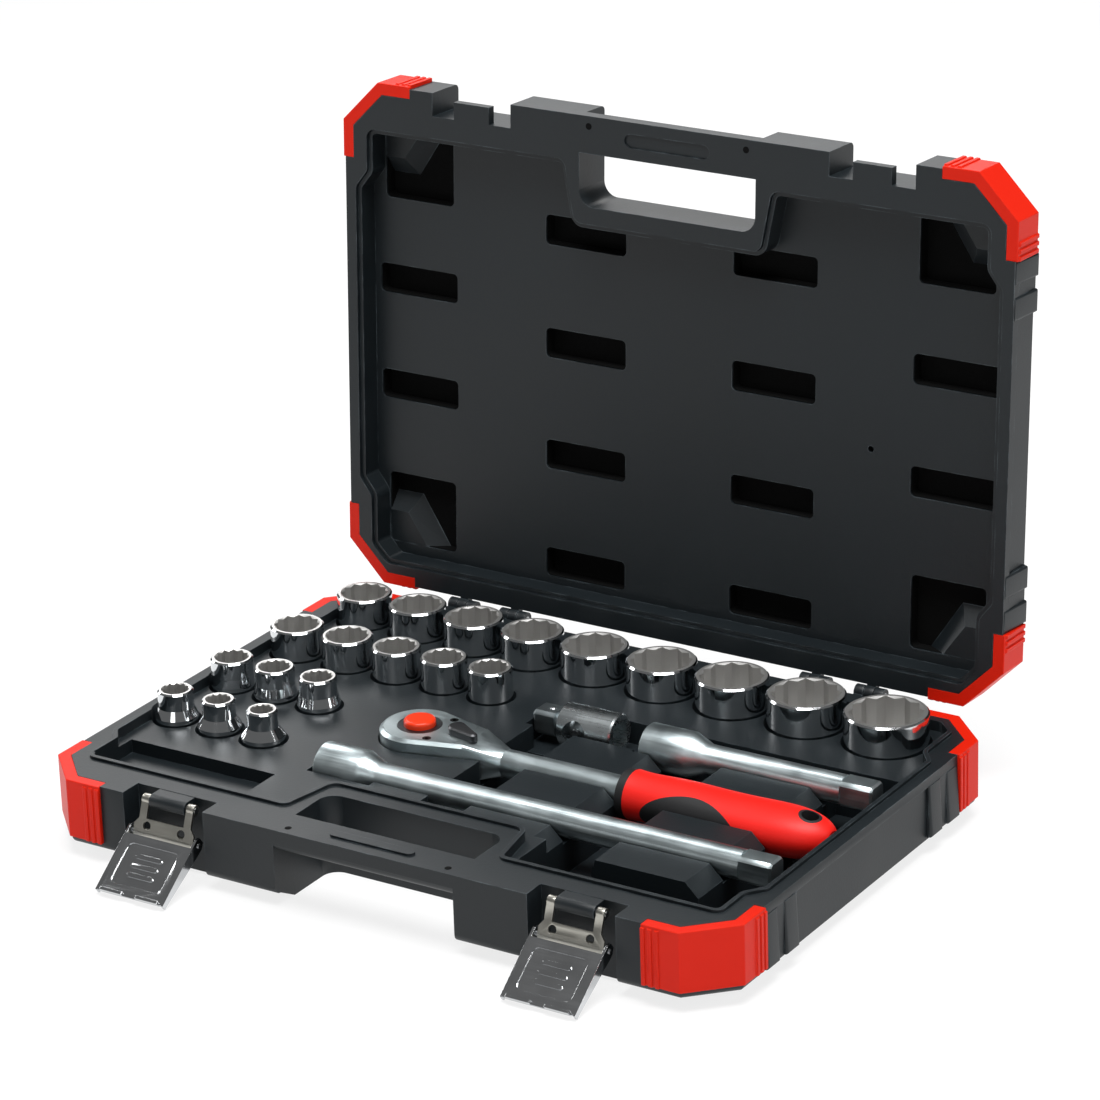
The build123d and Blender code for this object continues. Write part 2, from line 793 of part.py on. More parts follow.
# Lid shell: the base's outline turned over, thinner, with the catches for the latches
with BuildPart() as lid_shell:
    with BuildSketch(lid_frame.offset(lid_rim)):
        octagon(0)
    extrude(amount=lid_height)
    lid_back = lid_shell.faces().sort_by(Axis(lid_frame.origin, lid_frame.z_dir))[-1]
    fillet(lid_back.edges(), radius=lid_edge)
    for side in (-1, 1):
        with BuildSketch(lid_frame.offset(lid_rim + panel_top)):
            with Locations((side * half_width, 0)):
                Rectangle(2 * panel_recess, panel_length)
        extrude(amount=lid_height, mode=Mode.SUBTRACT)
    with BuildSketch(lid_frame.offset(lid_rim)):
        add(bays.sketch)
    extrude(amount=lid_height, mode=Mode.SUBTRACT)
    with BuildSketch(lid_frame.offset(lid_rim + wall)):
        add(inside.sketch)
    extrude(amount=lid_height - 2 * wall, mode=Mode.SUBTRACT)
    with BuildSketch(lid_frame.offset(lid_rim)):
        add(mouth.sketch)
    extrude(amount=2 * wall, mode=Mode.SUBTRACT)
    lip_seat = lid_rim + guard_lip_height + guard_fit
    guard_seat(lid_frame, lid_rim, lid_top - lid_edge + guard_fit, lid_rim, lip_seat)
    handle_bar(lid_frame, lid_rim, lid_rim + handle_height, -1)
    with BuildSketch(lid_frame.offset(lid_rim)):
        with Locations((0, grip_mark_setback - half_depth)):
            SlotOverall(grip_mark_length, grip_mark_width)
    extrude(amount=grip_mark_depth, mode=Mode.SUBTRACT)
    for x in (-latch_x, latch_x):
        with BuildSketch(lid_frame.offset(lid_rim)):
            lug_length = latch_bay_depth - lug_setback + wall / 2
            with Locations((x, lug_setback - half_depth + lug_length / 2)):
                Rectangle(2 * lug_half, lug_length)
        extrude(amount=lug_depth)
    hinge_leaves(lid_frame, lid_rim, lid_rim + knuckle_radius, lid_leaves, hinge_pin_radius + running)
finish(lid_shell, "lid_shell")

for name, sx, sy in corners:
    lip = lid_rim + guard_lip_height
    guard(lid_frame, lip, lid_top - lid_edge, lid_rim, lip, f"lid_guard_{name}", sx, sy)

# Lid liner: the inner panel, its wall up to the rim, and its recesses standing on the lid's back
panel = lid_rim + panel_depth
skin = lid_top - wall
with BuildPart() as lid_liner:
    with BuildSketch(lid_frame.offset(panel)):
        add(tray_edge.sketch)
    extrude(amount=tray_sheet)
    with BuildSketch(lid_frame.offset(lid_rim + bead_height + rim_gap)):
        add(tray_edge.sketch)
        add(tray_inside.sketch, mode=Mode.SUBTRACT)
    extrude(amount=panel_depth - bead_height)
    for grow, low, high, mode in ((cup_wall, panel, skin, Mode.ADD), (0, panel, skin, Mode.SUBTRACT)):
        with BuildSketch(lid_frame.offset(low)):
            for column in (-1, 1):
                slots = [(column * slot_column, hinge_y - row) for row in slot_rows]
                slots += [(column * side_column, hinge_y - row) for row in side_rows]
                with Locations(*slots):
                    RectangleRounded(slot_length + 2 * grow, slot_width + 2 * grow, slot_round + grow)
                with Locations(*[(column * pocket_column, hinge_y - row) for row in pocket_rows]):
                    RectangleRounded(pocket_length + 2 * grow, pocket_width + 2 * grow, slot_round + grow)
        extrude(amount=high - low, mode=mode)
    with BuildSketch(lid_frame.offset(panel)):
        with Locations((vent_x, hinge_y - vent_row)):
            Circle(vent_radius)
    extrude(amount=tray_sheet, mode=Mode.SUBTRACT)
finish(lid_liner, "lid_liner")

# Latches: each hangs open from its knuckle, the lever splayed out from the bracket's foot
for name, x in (("left", -latch_x), ("right", latch_x)):
    bracket_frame = Plane(Pos(x, latch_axis_y, latch_axis_z) * Rot(-latch_hang, 0, 0))
    lever_frame = Plane(Pos(x, lever_axis_y, lever_axis_z) * Rot(-lever_splay, 0, 0))
    window_half = latch_knuckle_width / 2 + bracket_gap
    arm_half = window_half + bracket_arm

    # Bracket: two eyes and arms round a window, a holed plate, and a barrel for the lever's pin
    with BuildPart() as latch_bracket:
        with BuildSketch(within(bracket_frame, Plane.XZ.offset(bracket_stand - bracket_plate))):
            Polygon(
                (-arm_half, 0),
                (-arm_half, -bracket_window),
                (-bracket_foot, -bracket_flare_start),
                (-bracket_foot, -bracket_length),
                (bracket_foot, -bracket_length),
                (bracket_foot, -bracket_flare_start),
                (arm_half, -bracket_window),
                (arm_half, 0),
                align=None,
            )
            Rectangle(2 * window_half, 2 * bracket_window, mode=Mode.SUBTRACT)
            with Locations((-bracket_hole_x, -bracket_hole_drop), (bracket_hole_x, -bracket_hole_drop)):
                Circle(bracket_hole, mode=Mode.SUBTRACT)
        extrude(amount=bracket_plate)
        for start in (-arm_half, window_half):
            with BuildSketch(within(bracket_frame, Plane.YZ.offset(start))):
                Circle(bracket_eye)
            extrude(amount=bracket_arm)
        with BuildSketch(within(bracket_frame, Plane.YZ.offset(-arm_half))):
            Circle(latch_pin_radius + running)
        extrude(amount=2 * arm_half, mode=Mode.SUBTRACT)
        with BuildSketch(within(bracket_frame, Plane.YZ.offset(-bracket_foot))):
            with Locations((0, -bracket_length)):
                Circle(bracket_barrel)
        extrude(amount=2 * bracket_foot)
        with BuildSketch(within(bracket_frame, Plane.YZ.offset(-bracket_foot))):
            with Locations((0, -bracket_length)):
                Circle(lever_pin_radius)
        extrude(amount=2 * bracket_foot, mode=Mode.SUBTRACT)
    finish(latch_bracket, f"latch_bracket_{name}")

    # Lever pin: through the barrel and both of the lever's flanges
    with BuildPart() as latch_lever_pin:
        pin_half = lever_half + lever_pin_overhang
        with BuildSketch(within(lever_frame, Plane.YZ.offset(-pin_half))):
            Circle(lever_pin_radius)
        extrude(amount=2 * pin_half)
    finish(latch_lever_pin, f"latch_lever_pin_{name}")

    # Lever: a plate with a sunk field between two flanges, and a notched lip at its tip
    with BuildPart() as latch_lever:
        with BuildSketch(within(lever_frame, Plane.XZ.offset(lever_stand))) as blank:
            with Locations((0, -(lever_top + lever_length) / 2)):
                Rectangle(2 * lever_half, lever_length - lever_top)
            fillet(blank.vertices().group_by(Axis.Y)[0], radius=lever_corner)
        extrude(amount=lever_sheet)
        for start in (-lever_half, lever_half - lever_sheet):
            with BuildSketch(within(lever_frame, Plane.YZ.offset(start))):
                Polygon(*[(-out, -along) for along, out in lever_profile], align=None)
                Circle(lever_pin_radius + running, mode=Mode.SUBTRACT)
            extrude(amount=lever_sheet)
        outside = Plane.XZ.offset(lever_stand + lever_sheet)
        with BuildSketch(within(lever_frame, outside)):
            with Locations((0, -(lever_field_start + lever_field_end) / 2)):
                RectangleRounded(2 * lever_field_half, lever_field_end - lever_field_start, lever_corner)
            with Locations(*[(0, -along) for along in lever_bars]):
                SlotOverall(lever_bar_length, lever_bar_width, mode=Mode.SUBTRACT)
        extrude(amount=-lever_field_depth, mode=Mode.SUBTRACT)
        with BuildSketch(within(lever_frame, outside)):
            with Locations((0, lever_lip_width / 2 - lever_length)):
                Rectangle(2 * (lever_half - lever_corner), lever_lip_width)
                Rectangle(lever_notch, lever_lip_width, mode=Mode.SUBTRACT)
        extrude(amount=lever_lip)
    finish(latch_lever, f"latch_lever_{name}")

# Sockets: turned bodies, twelve-point bores above and square drive holes below
for size, x, y in sockets:
    length = socket_length(size)
    seat = socket_top - length
    foot = Plane(Pos(x, y, seat))
    wide = socket_body_width(size) / 2
    slim = socket_width(size) / 2
    flat = (size + nut_room) / 2
    point = flat / math.cos(math.radians(hexagon_turn))
    with BuildPart() as socket:
        with BuildSketch(within(foot, Plane.XZ)):
            Polygon(
                (0, 0),
                (wide - socket_edge, 0),
                (wide, socket_edge),
                (wide, drive_end_length),
                (slim, drive_end_length + drive_end_taper),
                (slim, length - socket_edge),
                (slim - socket_edge, length),
                (0, length),
                align=None,
            )
        revolve(axis=Axis((x, y, seat), (0, 0, 1)))
        nut_floor = socket_drive_depth + socket_web
        with BuildSketch(foot.offset(nut_floor)):
            RegularPolygon(flat, hexagon_sides, major_radius=False)
            RegularPolygon(flat, hexagon_sides, major_radius=False, rotation=hexagon_turn)
        extrude(amount=length - nut_floor, mode=Mode.SUBTRACT)
        with BuildSketch(within(foot, Plane.XZ)):
            Polygon(
                (0, length - socket_lead),
                (flat, length - socket_lead),
                (point, length),
                (0, length),
                align=None,
            )
        revolve(axis=Axis((x, y, seat), (0, 0, 1)), mode=Mode.SUBTRACT)
        with BuildSketch(foot):
            Rectangle(drive_square + drive_room, drive_square + drive_room)
        extrude(amount=socket_drive_depth, mode=Mode.SUBTRACT)
    finish(socket, f"socket_{size}")


def drive_tip(plane, length):
    """A male drive square with its corners taken off and its end chamfered."""
    with BuildSketch(plane) as square:
        Circle(square_corner)
        Rectangle(drive_square, drive_square, mode=Mode.INTERSECT)
    extrude(square.sketch, amount=length - square_chamfer)
    with BuildSketch(plane.offset(length - square_chamfer)) as end:
        Circle(square_corner)
        Rectangle(drive_square, drive_square, mode=Mode.INTERSECT)
    extrude(end.sketch, amount=square_chamfer, taper=square_chamfer_slope)


def detent(place, name):
    """A spring ball in the face of a drive square."""
    with BuildPart() as ball:
        with Locations(place):
            Sphere(detent_radius)
    finish(ball, name)


# Extension bars: a bored head, a neck, a plain shaft and a male square
for start, end, y, name in (
    (long_bar_start, long_bar_end, long_bar_y, "extension_250"),
    (short_bar_start, short_bar_end, short_bar_y, "extension_125"),
):
    head_end = start + bar_head_length
    shaft_start = head_end + bar_neck_length
    square_start = end - bar_square_length
    line = Plane(Pos(0, y, bar_axis))
    spin = Axis((start, y, bar_axis), (1, 0, 0))
    ball_place = (end - detent_setback, y + drive_square / 2 + detent_show - detent_radius, bar_axis)
    with BuildPart() as extension:
        with BuildSketch(within(line, Plane.XZ)):
            Polygon(
                (start, 0),
                (start, bar_head_radius - bar_edge),
                (start + bar_edge, bar_head_radius),
                (head_end, bar_head_radius),
                (shaft_start, bar_radius),
                (square_start, bar_radius),
                (square_start, 0),
                align=None,
            )
        revolve(axis=spin)
        drive_tip(within(line, Plane.YZ.offset(square_start)), bar_square_length)
        with BuildSketch(within(line, Plane.YZ.offset(start))):
            Rectangle(drive_square + drive_room, drive_square + drive_room)
        extrude(amount=bar_drive_depth, mode=Mode.SUBTRACT)
        with Locations(ball_place):
            Sphere(detent_radius, mode=Mode.SUBTRACT)
    finish(extension, name)
    detent(ball_place, f"{name}_ball")

# Ratchet body: a round head drawn out into neck and shank, hollowed for the gear and the pawl
gear_low = head_top - cover_height - gear_lift - gear_height
cavity_floor = gear_low - gear_lift
cover_seat = head_top - cover_height
selector_foot = head_top + selector_gap - selector_shaft_length
screw_places = [(ratchet_x + screw_x, ratchet_y + side * screw_y) for side in (-1, 1)]
head_line = Plane(Pos(0, ratchet_y, shank_axis))
with BuildPart() as ratchet_body:
    with BuildSketch(Plane.XY.offset(head_bottom)):
        pear(0, neck_start)
    extrude(amount=head_height)
    head_faces = ratchet_body.faces().sort_by(Axis.Z)
    rims = head_faces[0].edges().sort_by(Axis.X)[:-1] + head_faces[-1].edges().sort_by(Axis.X)[:-1]
    chamfer(rims, length=head_edge)
    with BuildSketch(within(head_line, Plane.YZ.offset(ratchet_x + neck_start))):
        RectangleRounded(2 * neck_side, head_height, head_edge)
    with BuildSketch(within(head_line, Plane.YZ.offset(neck_x))):
        Circle(shank_radius)
    loft()
    with BuildSketch(within(head_line, Plane.YZ.offset(neck_x))):
        Circle(shank_radius)
    extrude(amount=grip_start - collar_length - neck_x)
    with BuildSketch(within(head_line, Plane.YZ.offset(neck_x))):
        Circle(tang_radius)
    extrude(amount=tang_end - neck_x)
    with BuildSketch(Plane.XY.offset(cover_seat)):
        pear(fit - cover_margin, cover_end + fit)
    extrude(amount=cover_height, mode=Mode.SUBTRACT)
    with BuildSketch(Plane.XY.offset(cavity_floor)):
        with Locations((ratchet_x, ratchet_y)):
            Circle(gear_radius + gear_room)
        with Locations((ratchet_x + selector_x, ratchet_y)):
            Circle(pawl_room)
    extrude(amount=cover_seat - cavity_floor, mode=Mode.SUBTRACT)
    with BuildSketch(Plane.XY.offset(head_bottom)):
        with Locations((ratchet_x, ratchet_y)):
            Circle(hub_radius + running)
    extrude(amount=head_height, mode=Mode.SUBTRACT)
    with BuildSketch(Plane.XY.offset(selector_foot - selector_gap)):
        with Locations((ratchet_x + selector_x, ratchet_y)):
            Circle(selector_shaft + running)
    extrude(amount=cavity_floor - selector_foot + selector_gap, mode=Mode.SUBTRACT)
    with BuildSketch(Plane.XY.offset(head_top - screw_length)):
        with Locations(*screw_places):
            Circle(screw_radius)
    extrude(amount=screw_length, mode=Mode.SUBTRACT)
finish(ratchet_body, "ratchet_body")

# Cover plate: closes the head round the gear's crown and carries the selector
with BuildPart() as cover_plate:
    with BuildSketch(Plane.XY.offset(cover_seat)):
        pear(-cover_margin, cover_end)
        with Locations((ratchet_x, ratchet_y)):
            Circle(crown_radius + crown_room, mode=Mode.SUBTRACT)
        with Locations((ratchet_x + selector_x, ratchet_y)):
            Circle(selector_shaft + running, mode=Mode.SUBTRACT)
        with Locations(*screw_places):
            Circle(screw_radius, mode=Mode.SUBTRACT)
    extrude(amount=cover_height)
    with BuildSketch(Plane.XY.offset(head_top - screw_head_height)):
        with Locations(*screw_places):
            Circle(screw_head_radius)
    extrude(amount=screw_head_height, mode=Mode.SUBTRACT)
finish(cover_plate, "cover_plate")

with BuildPart() as cover_screws:
    with BuildSketch(Plane.XY.offset(head_top - screw_length)):
        with Locations(*screw_places):
            Circle(screw_radius)
    extrude(amount=screw_length)
    with BuildSketch(Plane.XY.offset(head_top - screw_head_height)):
        with Locations(*screw_places):
            Circle(screw_head_radius)
    extrude(amount=screw_head_height)
    with BuildSketch(Plane.XY.offset(head_top - screw_recess_depth)):
        with Locations(*screw_places):
            RegularPolygon(screw_recess, hexagon_sides)
    extrude(amount=screw_recess_depth, mode=Mode.SUBTRACT)
finish(cover_screws, "cover_screws")

# Selector: a thumb lever on a shaft that runs down through cover and pawl
with BuildPart() as reversing_lever:
    selector_place = Location((ratchet_x + selector_x, ratchet_y, 0), (0, 0, selector_angle))
    with BuildSketch(Plane.XY.offset(head_top + selector_gap)):
        with Locations(selector_place):
            Circle(selector_hub)
            arm = selector_length - selector_tip
            hub = selector_hub
            tip = selector_tip
            Polygon((0, hub), (arm, tip), (arm, -tip), (0, -hub), align=None)
        with Locations(selector_place * Pos(arm, 0, 0)):
            Circle(selector_tip)
    extrude(amount=selector_height)
    chamfer(reversing_lever.faces().sort_by(Axis.Z)[-1].edges(), length=selector_edge)
    with BuildSketch(Plane.XY.offset(selector_foot)):
        with Locations((ratchet_x + selector_x, ratchet_y)):
            Circle(selector_shaft)
    extrude(amount=selector_shaft_length)
finish(reversing_lever, "reversing_lever")

# Pawl: two arms, one of which leans towards the gear
with BuildPart() as pawl:
    with BuildSketch(Plane.XY.offset(cavity_floor + pawl_lift)):
        with Locations(Location((ratchet_x + selector_x, ratchet_y, 0), (0, 0, pawl_angle))):
            Circle(pawl_hub)
            Polygon(
                (0, pawl_hub),
                (-pawl_reach, pawl_spread),
                (-pawl_hub, 0),
                (-pawl_reach, -pawl_spread),
                (0, -pawl_hub),
                align=None,
            )
            Circle(selector_shaft + running, mode=Mode.SUBTRACT)
    extrude(amount=pawl_height)
finish(pawl, "pawl")

# Drive gear: toothed wheel, hub, crown and the male square that points down into the tray
button_foot = head_top + button_rise - button_height
spring_foot = button_foot - spring_height
square_half = drive_square / 2
drive_ball_place = (
    ratchet_x,
    ratchet_y - square_half - detent_show + detent_radius,
    head_bottom - drive_length + detent_setback,
)
with BuildPart() as drive_gear:
    with BuildSketch(Plane.XY.offset(gear_low)):
        with Locations((ratchet_x, ratchet_y)):
            rim = []
            for step in range(2 * gear_teeth):
                turn = math.pi * step / gear_teeth
                radius = gear_radius - tooth_depth * (step % 2)
                rim.append((radius * math.cos(turn), radius * math.sin(turn)))
            Polygon(*rim, align=None)
    extrude(amount=gear_height)
    with BuildSketch(Plane.XY.offset(head_bottom)):
        with Locations((ratchet_x, ratchet_y)):
            Circle(hub_radius)
    extrude(amount=gear_low - head_bottom)
    with BuildSketch(Plane.XY.offset(gear_low)):
        with Locations((ratchet_x, ratchet_y)):
            Circle(crown_radius)
    extrude(amount=head_top - gear_low)
    drive_tip(Plane((ratchet_x, ratchet_y, head_bottom), x_dir=(1, 0, 0), z_dir=(0, 0, -1)), drive_length)
    with BuildSketch(Plane.XY.offset(spring_foot)):
        with Locations((ratchet_x, ratchet_y)):
            Circle(button_radius + running)
    extrude(amount=head_top - spring_foot, mode=Mode.SUBTRACT)
    with Locations(drive_ball_place):
        Sphere(detent_radius, mode=Mode.SUBTRACT)
finish(drive_gear, "drive_gear")
detent(drive_ball_place, "drive_ball")

with BuildPart() as release_button:
    with BuildSketch(Plane.XY.offset(button_foot)):
        with Locations((ratchet_x, ratchet_y)):
            Circle(button_radius)
    extrude(amount=button_height)
    fillet(release_button.faces().sort_by(Axis.Z)[-1].edges(), radius=button_dome)
finish(release_button, "release_button")

with BuildPart() as release_spring:
    with BuildLine() as coil:
        Helix(
            pitch=spring_pitch,
            height=spring_height - 2 * spring_wire,
            radius=spring_radius,
            center=(ratchet_x, ratchet_y, spring_foot + spring_wire),
        )
    with BuildSketch(Plane(coil.line @ 0, z_dir=coil.line % 0)):
        Circle(spring_wire)
    sweep()
finish(release_spring, "release_spring")

# Grip: a black core with side inlays and eyelet, moulded into a red cover
grip_line = Plane(Pos(0, ratchet_y, grip_axis))
with BuildPart() as grip_form:
    for along, half_y, half_z in grip_stations:
        with BuildSketch(within(grip_line, Plane.YZ.offset(grip_start + along))):
            Ellipse(half_y, half_z)
    loft()

with BuildPart() as grip_core:
    with BuildSketch(within(head_line, Plane.YZ.offset(grip_start))):
        Circle(grip_core_radius)
    extrude(amount=grip_core_end - grip_start)
    with BuildSketch(within(grip_line, Plane.XZ.offset(-grip_room))):
        with Locations((inlay_x, -inlay_drop)):
            Ellipse(inlay_half_length, inlay_half_height)
    extrude(amount=2 * grip_room)
    with BuildSketch(within(grip_line, Plane.XY.offset(-grip_room))):
        with Locations((hang_hole_x, 0)):
            Circle(hang_hole_radius + eyelet_wall)
    extrude(amount=2 * grip_room)
    add(grip_form.part, mode=Mode.INTERSECT)
    with BuildSketch(within(grip_line, Plane.YZ.offset(grip_start - collar_length))):
        Circle(collar_radius)
    extrude(amount=collar_length)
    with BuildSketch(within(head_line, Plane.YZ.offset(grip_start - collar_length))):
        Circle(tang_radius)
    extrude(amount=tang_end - grip_start + collar_length, mode=Mode.SUBTRACT)
    with BuildSketch(within(grip_line, Plane.XY.offset(-grip_room))):
        with Locations((hang_hole_x, 0)):
            Circle(hang_hole_radius)
    extrude(amount=2 * grip_room, mode=Mode.SUBTRACT)
finish(grip_core, "grip_core")

with BuildPart() as grip_overmould:
    add(grip_form.part)
    add(grip_core.part, mode=Mode.SUBTRACT)
    with BuildSketch(within(head_line, Plane.YZ.offset(grip_start))):
        Circle(tang_radius)
    extrude(amount=tang_end - grip_start, mode=Mode.SUBTRACT)
    with BuildSketch(within(grip_line, Plane.XY.offset(-grip_room))):
        with Locations((hang_hole_x, 0)):
            Circle(hang_hole_radius)
    extrude(amount=2 * grip_room, mode=Mode.SUBTRACT)
finish(grip_overmould, "grip_overmould")

# Universal joint: a ball on the drive end, pinned in the bore of the sleeve
joint_line = Plane(Pos(joint_x, joint_y, bar_axis))
joint_spin = Axis((joint_x, joint_y, bar_axis), (1, 0, 0))
joint_ball_place = (
    joint_x - joint_square_gap - joint_square_length + detent_setback,
    joint_y,
    bar_axis + square_half + detent_show - detent_radius,
)
with BuildPart() as joint_sleeve:
    with BuildSketch(within(joint_line, Plane.XZ)):
        Polygon(
            (0, joint_flare),
            (0, sleeve_radius),
            (sleeve_length - joint_edge, sleeve_radius),
            (sleeve_length, sleeve_radius - joint_edge),
            (sleeve_length, 0),
            (joint_bore_depth, 0),
            (joint_bore_depth, joint_bore),
            (joint_flare_length, joint_bore),
            align=None,
        )
    revolve(axis=joint_spin)
    with BuildSketch(within(joint_line, Plane.XZ.offset(-joint_pin_length))):
        with Locations((joint_centre, 0)):
            Circle(joint_window)
    extrude(amount=2 * joint_pin_length, mode=Mode.SUBTRACT)
    with BuildSketch(within(joint_line, Plane.YZ.offset(sleeve_length - joint_drive_depth))):
        Rectangle(drive_square + drive_room, drive_square + drive_room)
    extrude(amount=joint_drive_depth, mode=Mode.SUBTRACT)
finish(joint_sleeve, "joint_sleeve")

with BuildPart() as joint_drive:
    neck_length = joint_centre + joint_square_gap
    with BuildSketch(within(joint_line, Plane.XZ)):
        with Locations((joint_centre, 0)):
            Circle(joint_ball)
        with Locations((joint_centre - neck_length / 2, 0)):
            Rectangle(neck_length, 2 * joint_neck)
        with Locations((joint_centre, joint_ball)):
            Rectangle(2 * neck_length, 2 * joint_ball, mode=Mode.INTERSECT)
    revolve(axis=joint_spin)
    square_face = Plane((joint_x - joint_square_gap, joint_y, bar_axis), x_dir=(0, 1, 0), z_dir=(-1, 0, 0))
    drive_tip(square_face, joint_square_length)
    with BuildSketch(within(joint_line, Plane.XZ.offset(-joint_pin_length))):
        with Locations((joint_centre, 0)):
            Circle(joint_pin_radius + running)
    extrude(amount=2 * joint_pin_length, mode=Mode.SUBTRACT)
    with Locations(joint_ball_place):
        Sphere(detent_radius, mode=Mode.SUBTRACT)
finish(joint_drive, "joint_drive")
detent(joint_ball_place, "joint_drive_ball")

with BuildPart() as joint_pin:
    with BuildSketch(within(joint_line, Plane.XZ.offset(-joint_pin_length / 2))):
        with Locations((joint_centre, 0)):
            Circle(joint_pin_radius)
    extrude(amount=joint_pin_length)
finish(joint_pin, "joint_pin")
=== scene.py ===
import math

import bmesh
import bpy
from mathutils import Matrix, Vector


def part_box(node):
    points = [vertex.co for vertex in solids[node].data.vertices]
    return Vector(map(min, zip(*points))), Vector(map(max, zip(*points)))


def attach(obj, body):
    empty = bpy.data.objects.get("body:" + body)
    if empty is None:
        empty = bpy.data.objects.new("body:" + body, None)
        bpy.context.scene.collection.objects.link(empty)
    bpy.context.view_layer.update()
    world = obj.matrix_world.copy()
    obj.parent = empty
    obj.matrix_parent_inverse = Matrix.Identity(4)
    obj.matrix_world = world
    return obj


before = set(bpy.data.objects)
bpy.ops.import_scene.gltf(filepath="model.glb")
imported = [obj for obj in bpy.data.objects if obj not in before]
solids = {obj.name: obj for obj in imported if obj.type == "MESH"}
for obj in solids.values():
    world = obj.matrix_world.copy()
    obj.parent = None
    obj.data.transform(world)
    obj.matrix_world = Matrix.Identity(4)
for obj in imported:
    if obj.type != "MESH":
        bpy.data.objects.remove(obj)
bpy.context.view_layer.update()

# The case: base and lid are each blown in one from black polyethylene, as an outer and an inner wall.
# The skin has a fine spark-eroded grain and a satin sheen, and its edges have gone grey where they rub.


def paint(code):
    """An sRGB hex colour as linear red, green, blue and alpha."""
    shares = [int(code[i:i + 2], 16) / 255 for i in (1, 3, 5)]
    return [s / 12.92 if s <= 0.04045 else ((s + 0.055) / 1.055) ** 2.4 for s in shares] + [1.0]


def node(tree, kind, inputs, **settings):
    """Adds a shader node, makes its settings, and fills or links its inputs."""
    made = tree.nodes.new("ShaderNode" + kind)
    for key, value in settings.items():
        setattr(made, key, value)
    for key, value in inputs.items():
        if isinstance(value, bpy.types.NodeSocket):
            tree.links.new(value, made.inputs[key])
        else:
            made.inputs[key].default_value = value
    return made


def new_material(name):
    """An empty material with its node tree and the object coordinates that its patterns read."""
    made = bpy.data.materials.new(name)
    made.use_nodes = True
    made.node_tree.nodes.clear()
    place = node(made.node_tree, "TexCoord", {}).outputs["Object"]
    return made, made.node_tree, place


def dress(material, *names):
    """Gives a material to CAD nodes."""
    for name in names:
        mesh = solids[name].data
        mesh.materials.clear()
        mesh.materials.append(material)


def edge_for_wear_and_highlight(tree, reach_mm, low, high):
    """How strongly a spot is an outer edge: 0 on a flat, 1 on the edge itself."""
    flat = node(tree, "NewGeometry", {}).outputs["Normal"]
    soft = node(tree, "Bevel", {"Radius": reach_mm / 1000}, samples=4).outputs["Normal"]
    level = node(tree, "VectorMath", {0: flat, 1: soft}, operation="DOT_PRODUCT").outputs["Value"]
    return node(tree, "MapRange", {"Value": level, "From Min": high, "From Max": low}).outputs["Result"]


def soften(width_mm, *names):
    """Rounds the edges of CAD nodes as the mould does, once their triangles are joined."""
    for name in names:
        weld = solids[name].modifiers.new("join", "WELD")
        weld.merge_threshold = 0.00001
        flats = solids[name].modifiers.new("flats", "DECIMATE")
        flats.decimate_type = "DISSOLVE"
        flats.angle_limit = math.radians(0.5)
        edges = solids[name].modifiers.new("edges", "BEVEL")
        edges.width = width_mm / 1000
        edges.segments = 2
        edges.limit_method = "ANGLE"
        edges.angle_limit = math.radians(40)
        edges.use_clamp_overlap = True
        edges.harden_normals = False


def blown_polyethylene():
    """Satin black polyethylene. The grain is really 0.4 mm and is drawn at 1.4 mm so that it shows."""
    grain_mm, cloud_mm, scuff_mm, edge_mm = 1.4, 60, 9, 0.9
    made, tree, place = new_material("blown_polyethylene")
    grain = node(tree, "TexNoise", {"Vector": place, "Scale": 1000 / grain_mm, "Detail": 2.0}).outputs["Fac"]
    cloud = node(tree, "TexNoise", {"Vector": place, "Scale": 1000 / cloud_mm, "Detail": 4.0}).outputs["Fac"]
    scuff = node(tree, "TexNoise", {"Vector": place, "Scale": 1000 / scuff_mm, "Detail": 5.0}).outputs["Fac"]
    edge = edge_for_wear_and_highlight(tree, edge_mm, 0.80, 0.97)
    patchy = node(tree, "MapRange", {"Value": scuff, "From Min": 0.42, "From Max": 0.68}).outputs["Result"]
    worn = node(tree, "Math", {0: edge, 1: patchy}, operation="MULTIPLY").outputs["Value"]
    tone = node(
        tree, "Mix", {"Factor": cloud, "A": paint("#0E1417"), "B": paint("#141B1F")}, data_type="RGBA",
    ).outputs["Result"]
    shade = node(tree, "Mix", {"Factor": worn, "A": tone, "B": paint("#4E575C")}, data_type="RGBA")
    dull = node(tree, "MapRange", {"Value": cloud, "To Min": 0.40, "To Max": 0.52}).outputs["Result"]
    bumps = node(tree, "Bump", {"Height": grain, "Strength": 0.12, "Distance": 0.0004}).outputs["Normal"]
    skin = node(tree, "BsdfPrincipled", {
        "Base Color": shade.outputs["Result"], "Roughness": dull, "Normal": bumps, "IOR": 1.5,
        "Specular IOR Level": 0.4,
    })
    node(tree, "OutputMaterial", {"Surface": skin.outputs["BSDF"]})
    return made


case_skin = blown_polyethylene()
case_walls = ("base_shell", "lid_shell", "tool_tray", "lid_liner")
dress(case_skin, *case_walls)
soften(0.7, *case_walls)
